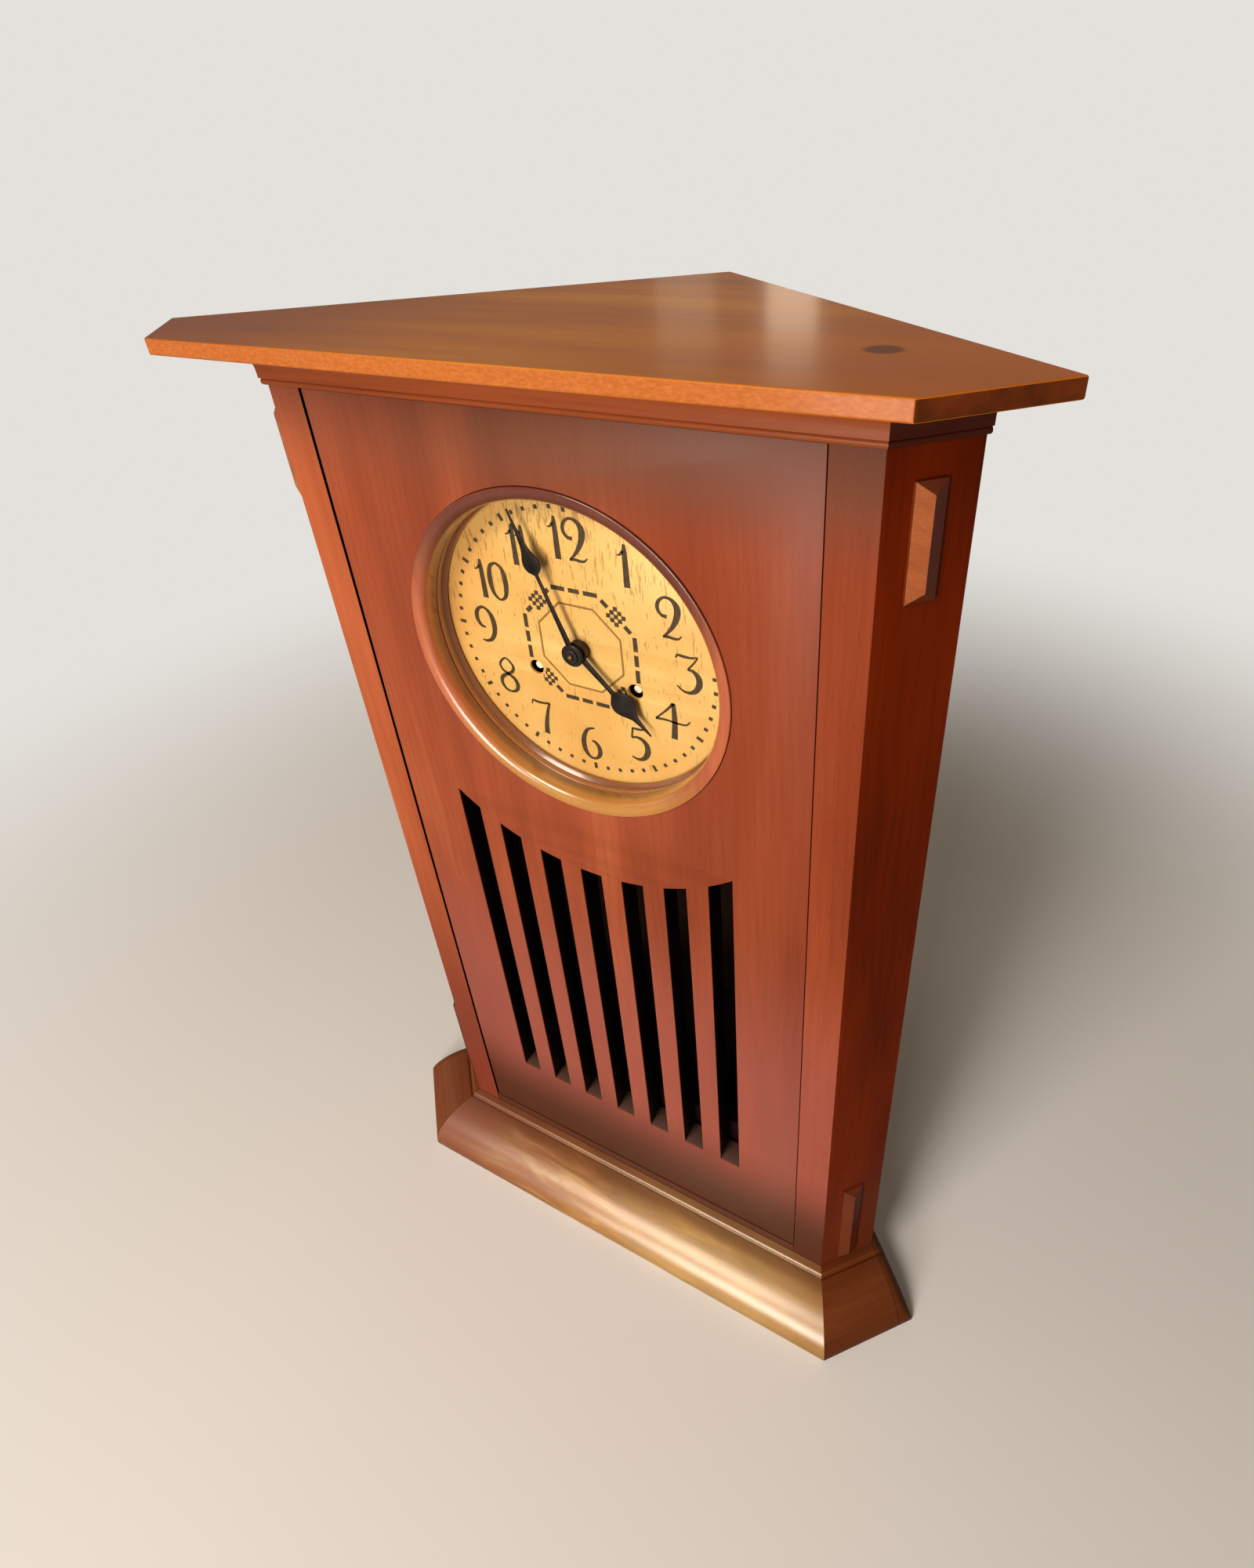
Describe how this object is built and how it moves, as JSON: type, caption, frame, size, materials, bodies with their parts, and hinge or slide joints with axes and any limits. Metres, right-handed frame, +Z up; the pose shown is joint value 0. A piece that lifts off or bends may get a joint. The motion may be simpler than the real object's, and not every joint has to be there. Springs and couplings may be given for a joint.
{
  "type": "clock",
  "caption": "Corner shelf clock: five-sided wooden case, slotted door with a turned bezel ring, metal dial, key-wound striking movement and short pendulum.",
  "frame": {"origin": "on the shelf, under the middle of the outline's box", "axes": "+Z up, -Y towards the room (the door's front), +X to the right as seen from the front"},
  "size_m": [0.4318, 0.2632, 0.6432],
  "materials": {
    "cherry_case": "satin varnished reddish brown wood with fine grain",
    "cherry_top": "glossy orange-brown varnished wood",
    "turned_ring": "satin varnished turned wood",
    "dial_metal": "aged brass-coloured sheet with fine dark flecks",
    "blued_steel": "blackened steel",
    "brass": "machined brass",
    "steel": "bright steel",
    "iron": "dark cast iron"
  },
  "bodies": {
    "case": {"top_board": "cherry_top", "crown_front": "cherry_case", "crown_left": "cherry_case", "crown_right": "cherry_case", "side_board_left": "cherry_case", "side_board_right": "cherry_case", "header_rail": "cherry_case", "sill_rail": "cherry_case", "upper_rail": "cherry_case", "lower_rail": "cherry_case", "floor_board": "cherry_case", "seat_board": "cherry_case", "back_panel_left": "cherry_case", "back_panel_right": "cherry_case", "rear_post": "cherry_case", "base_front": "cherry_case", "base_left": "cherry_case", "base_right": "cherry_case", "base_back_left": "cherry_case", "base_back_right": "cherry_case", "catch_magnet": "steel", "dial_plate": "dial_metal", "front_plate": "brass", "back_plate": "brass", "back_cock": "brass", "suspension_spring": "steel", "gong_block": "iron", "gong_rod_front": "brass", "gong_rod_rear": "brass"},
    "door": {"door_panel": "cherry_case", "bezel_ring": "turned_ring", "door_pin_upper": "brass", "door_pin_lower": "brass", "catch_plate": "steel"},
    "minute": {"centre_arbor": "brass", "cannon_pinion": "brass", "minute_hand": "blued_steel", "hand_nut": "blued_steel"},
    "hour": {"hour_hand": "blued_steel", "hour_wheel": "brass"},
    "motion": {"minute_wheel": "brass"},
    "time_second": {"time_second_arbor": "brass"},
    "third": {"third_arbor": "brass"},
    "escape": {"escape_arbor": "brass"},
    "time_drum": {"time_barrel": "brass"},
    "time_winding": {"time_winding_arbor": "steel"},
    "time_catch": {"time_click": "steel"},
    "strike_drum": {"strike_barrel": "brass"},
    "strike_winding": {"strike_winding_arbor": "steel"},
    "strike_catch": {"strike_click": "steel"},
    "strike_second": {"strike_second_arbor": "brass"},
    "pin_wheel": {"pin_wheel": "brass"},
    "fly": {"fly": "brass"},
    "hammer": {"hammer_arbor": "steel", "hammer_head": "brass"},
    "anchor": {"anchor": "steel"},
    "pendulum": {"pendulum_rod": "brass", "pendulum_bob": "brass", "rating_nut": "brass"}
  },
  "joints": [
    {"name": "door_hinge", "type": "hinge", "parent": "case", "child": "door", "pos_m": [0.12149, -0.08821, 0.3254], "axis": [0, 0, 1], "range_deg": [0, 105]},
    {"name": "minute_turn", "type": "hinge", "parent": "case", "child": "minute", "pos_m": [0, -0.04081, 0.4905], "axis": [0, 1, 0], "continuous": true},
    {"name": "hour_turn", "type": "hinge", "parent": "case", "child": "hour", "pos_m": [0, -0.04081, 0.4905], "axis": [0, 1, 0], "continuous": true},
    {"name": "motion_turn", "type": "hinge", "parent": "case", "child": "motion", "pos_m": [0, -0.04081, 0.4761], "axis": [0, 1, 0], "continuous": true},
    {"name": "time_second_turn", "type": "hinge", "parent": "case", "child": "time_second", "pos_m": [0.01649, -0.04081, 0.50034], "axis": [0, 1, 0], "continuous": true},
    {"name": "third_turn", "type": "hinge", "parent": "case", "child": "third", "pos_m": [-0.01003, -0.04081, 0.50424], "axis": [0, 1, 0], "continuous": true},
    {"name": "escape_turn", "type": "hinge", "parent": "case", "child": "escape", "pos_m": [0, -0.04081, 0.5165], "axis": [0, 1, 0], "continuous": true},
    {"name": "time_drum_turn", "type": "hinge", "parent": "case", "child": "time_drum", "pos_m": [0.03025, -0.04081, 0.472], "axis": [0, 1, 0], "continuous": true},
    {"name": "time_winding_turn", "type": "hinge", "parent": "case", "child": "time_winding", "pos_m": [0.03025, -0.04081, 0.472], "axis": [0, 1, 0], "continuous": true},
    {"name": "time_catch_lift", "type": "hinge", "parent": "case", "child": "time_catch", "pos_m": [0.04125, -0.06011, 0.482], "axis": [0, 1, 0], "range_deg": [0, 12], "stiffness_Nm_per_rad": 0.002},
    {"name": "strike_drum_turn", "type": "hinge", "parent": "case", "child": "strike_drum", "pos_m": [-0.03025, -0.04081, 0.472], "axis": [0, 1, 0], "continuous": true},
    {"name": "strike_winding_turn", "type": "hinge", "parent": "case", "child": "strike_winding", "pos_m": [-0.03025, -0.04081, 0.472], "axis": [0, 1, 0], "continuous": true},
    {"name": "strike_catch_lift", "type": "hinge", "parent": "case", "child": "strike_catch", "pos_m": [-0.04125, -0.06011, 0.482], "axis": [0, -1, 0], "range_deg": [0, 12], "stiffness_Nm_per_rad": 0.002},
    {"name": "strike_second_turn", "type": "hinge", "parent": "case", "child": "strike_second", "pos_m": [-0.03572, -0.04081, 0.50302], "axis": [0, 1, 0], "continuous": true},
    {"name": "pin_wheel_turn", "type": "hinge", "parent": "case", "child": "pin_wheel", "pos_m": [-0.02441, -0.04081, 0.5165], "axis": [0, 1, 0], "continuous": true},
    {"name": "fly_turn", "type": "hinge", "parent": "case", "child": "fly", "pos_m": [-0.03359, -0.04081, 0.52707], "axis": [0, 1, 0], "continuous": true},
    {"name": "hammer_swing", "type": "hinge", "parent": "case", "child": "hammer", "pos_m": [-0.052, -0.04081, 0.5125], "axis": [0, -1, 0], "range_deg": [0, 15]},
    {"name": "pendulum_swing", "type": "hinge", "parent": "case", "child": "pendulum", "pos_m": [0, -0.04081, 0.532], "axis": [0, 1, 0], "range_deg": [-4, 4]},
    {"name": "anchor_rock", "type": "hinge", "parent": "case", "child": "anchor", "pos_m": [0, -0.04081, 0.532], "axis": [0, 1, 0], "range_deg": [-4, 4]}
  ],
  "couplings": [
    {"joint": "hour_turn", "follows": "minute_turn", "ratio": 0.083333},
    {"joint": "motion_turn", "follows": "minute_turn", "ratio": -0.33333},
    {"joint": "time_second_turn", "follows": "minute_turn", "ratio": -0.33333},
    {"joint": "time_drum_turn", "follows": "minute_turn", "ratio": 0.055556},
    {"joint": "third_turn", "follows": "minute_turn", "ratio": -12.5},
    {"joint": "escape_turn", "follows": "minute_turn", "ratio": 125},
    {"joint": "strike_second_turn", "follows": "strike_drum_turn", "ratio": -6},
    {"joint": "pin_wheel_turn", "follows": "strike_drum_turn", "ratio": 27},
    {"joint": "fly_turn", "follows": "strike_drum_turn", "ratio": -162},
    {"joint": "anchor_rock", "follows": "pendulum_swing", "ratio": 1}
  ]
}
